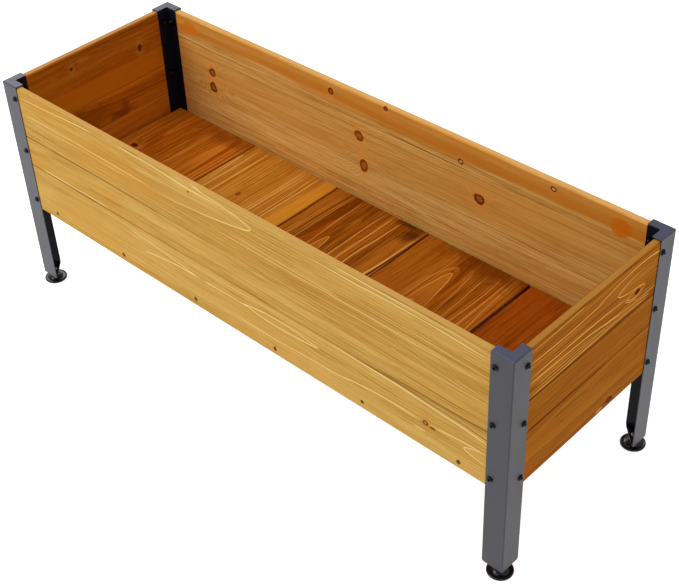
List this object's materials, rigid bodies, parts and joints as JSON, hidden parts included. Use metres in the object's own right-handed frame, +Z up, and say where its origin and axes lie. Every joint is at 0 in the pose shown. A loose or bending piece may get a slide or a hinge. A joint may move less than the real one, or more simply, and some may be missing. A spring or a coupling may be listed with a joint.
{
  "type": "raised planter",
  "caption": "Long rectangular timber trough on folded steel corner posts, open at the top, standing on round screw-adjustable feet.",
  "frame": {"origin": "on the ground at the middle of the footprint, with the feet at their stored height", "axes": "+X along the trough to its right end, +Y across it to the back wall, +Z up"},
  "size_m": [1.114, 0.39, 0.432],
  "materials": {
    "post_steel": "satin dark grey powder coat",
    "bracket_steel": "satin black coat",
    "black_fastener": "glossy black",
    "zinc_steel": "bright zinc plate",
    "black_plastic": "glossy black moulding",
    "wall_wood": "honey-stained softwood with a satin sheen",
    "floor_wood": "darker stained softwood with strong grain",
    "ledger_wood": "stained softwood"
  },
  "bodies": {
    "root": {"post_front_left": "post_steel", "post_front_right": "post_steel", "post_back_left": "post_steel", "post_back_right": "post_steel", "bracket_front_left": "bracket_steel", "bracket_front_right": "bracket_steel", "bracket_back_left": "bracket_steel", "bracket_back_right": "bracket_steel", "bolts_front_left": "black_fastener", "bolts_front_right": "black_fastener", "bolts_back_left": "black_fastener", "bolts_back_right": "black_fastener", "nuts_front_left": "black_fastener", "nuts_front_right": "black_fastener", "nuts_back_left": "black_fastener", "nuts_back_right": "black_fastener", "foot_plate_front_left": "bracket_steel", "foot_plate_front_right": "bracket_steel", "foot_plate_back_left": "bracket_steel", "foot_plate_back_right": "bracket_steel", "foot_nut_front_left": "bracket_steel", "foot_nut_front_right": "bracket_steel", "foot_nut_back_left": "bracket_steel", "foot_nut_back_right": "bracket_steel", "front_wall_bottom_board": "wall_wood", "front_wall_middle_board": "wall_wood", "front_wall_top_board": "wall_wood", "back_wall_bottom_board": "wall_wood", "back_wall_middle_board": "wall_wood", "back_wall_top_board": "wall_wood", "left_wall_bottom_board": "wall_wood", "left_wall_middle_board": "wall_wood", "left_wall_top_board": "wall_wood", "right_wall_bottom_board": "wall_wood", "right_wall_middle_board": "wall_wood", "right_wall_top_board": "wall_wood", "floor_board_1": "floor_wood", "floor_board_2": "floor_wood", "floor_board_3": "floor_wood", "floor_board_4": "floor_wood", "floor_board_5": "floor_wood", "floor_ledger_front": "ledger_wood", "floor_ledger_back": "ledger_wood", "ledger_nails_front": "black_fastener", "ledger_nails_back": "black_fastener"},
    "pad_front_left": {"foot_pad_front_left": "black_plastic"},
    "stem_front_left": {"foot_stem_front_left": "zinc_steel"},
    "pad_front_right": {"foot_pad_front_right": "black_plastic"},
    "stem_front_right": {"foot_stem_front_right": "zinc_steel"},
    "pad_back_left": {"foot_pad_back_left": "black_plastic"},
    "stem_back_left": {"foot_stem_back_left": "zinc_steel"},
    "pad_back_right": {"foot_pad_back_right": "black_plastic"},
    "stem_back_right": {"foot_stem_back_right": "zinc_steel"}
  },
  "joints": [
    {"name": "foot_height_front_left", "type": "slide", "parent": "root", "child": "pad_front_left", "axis": [0, 0, 1], "range_m": [-0.005, 0.002]},
    {"name": "stem_turn_front_left", "type": "hinge", "parent": "pad_front_left", "child": "stem_front_left", "pos_m": [-0.536, -0.174, 0.003], "axis": [0, 0, 1], "range_deg": [-1441, 577]},
    {"name": "foot_height_front_right", "type": "slide", "parent": "root", "child": "pad_front_right", "axis": [0, 0, 1], "range_m": [-0.005, 0.002]},
    {"name": "stem_turn_front_right", "type": "hinge", "parent": "pad_front_right", "child": "stem_front_right", "pos_m": [0.536, -0.174, 0.003], "axis": [0, 0, 1], "range_deg": [-1441, 577]},
    {"name": "foot_height_back_left", "type": "slide", "parent": "root", "child": "pad_back_left", "axis": [0, 0, 1], "range_m": [-0.005, 0.002]},
    {"name": "stem_turn_back_left", "type": "hinge", "parent": "pad_back_left", "child": "stem_back_left", "pos_m": [-0.536, 0.174, 0.003], "axis": [0, 0, 1], "range_deg": [-1441, 577]},
    {"name": "foot_height_back_right", "type": "slide", "parent": "root", "child": "pad_back_right", "axis": [0, 0, 1], "range_m": [-0.005, 0.002]},
    {"name": "stem_turn_back_right", "type": "hinge", "parent": "pad_back_right", "child": "stem_back_right", "pos_m": [0.536, 0.174, 0.003], "axis": [0, 0, 1], "range_deg": [-1441, 577]}
  ],
  "couplings": [
    {"joint": "stem_turn_front_left", "follows": "foot_height_front_left", "rad_per_m": 5026.5},
    {"joint": "stem_turn_front_right", "follows": "foot_height_front_right", "rad_per_m": 5026.5},
    {"joint": "stem_turn_back_left", "follows": "foot_height_back_left", "rad_per_m": 5026.5},
    {"joint": "stem_turn_back_right", "follows": "foot_height_back_right", "rad_per_m": 5026.5}
  ]
}
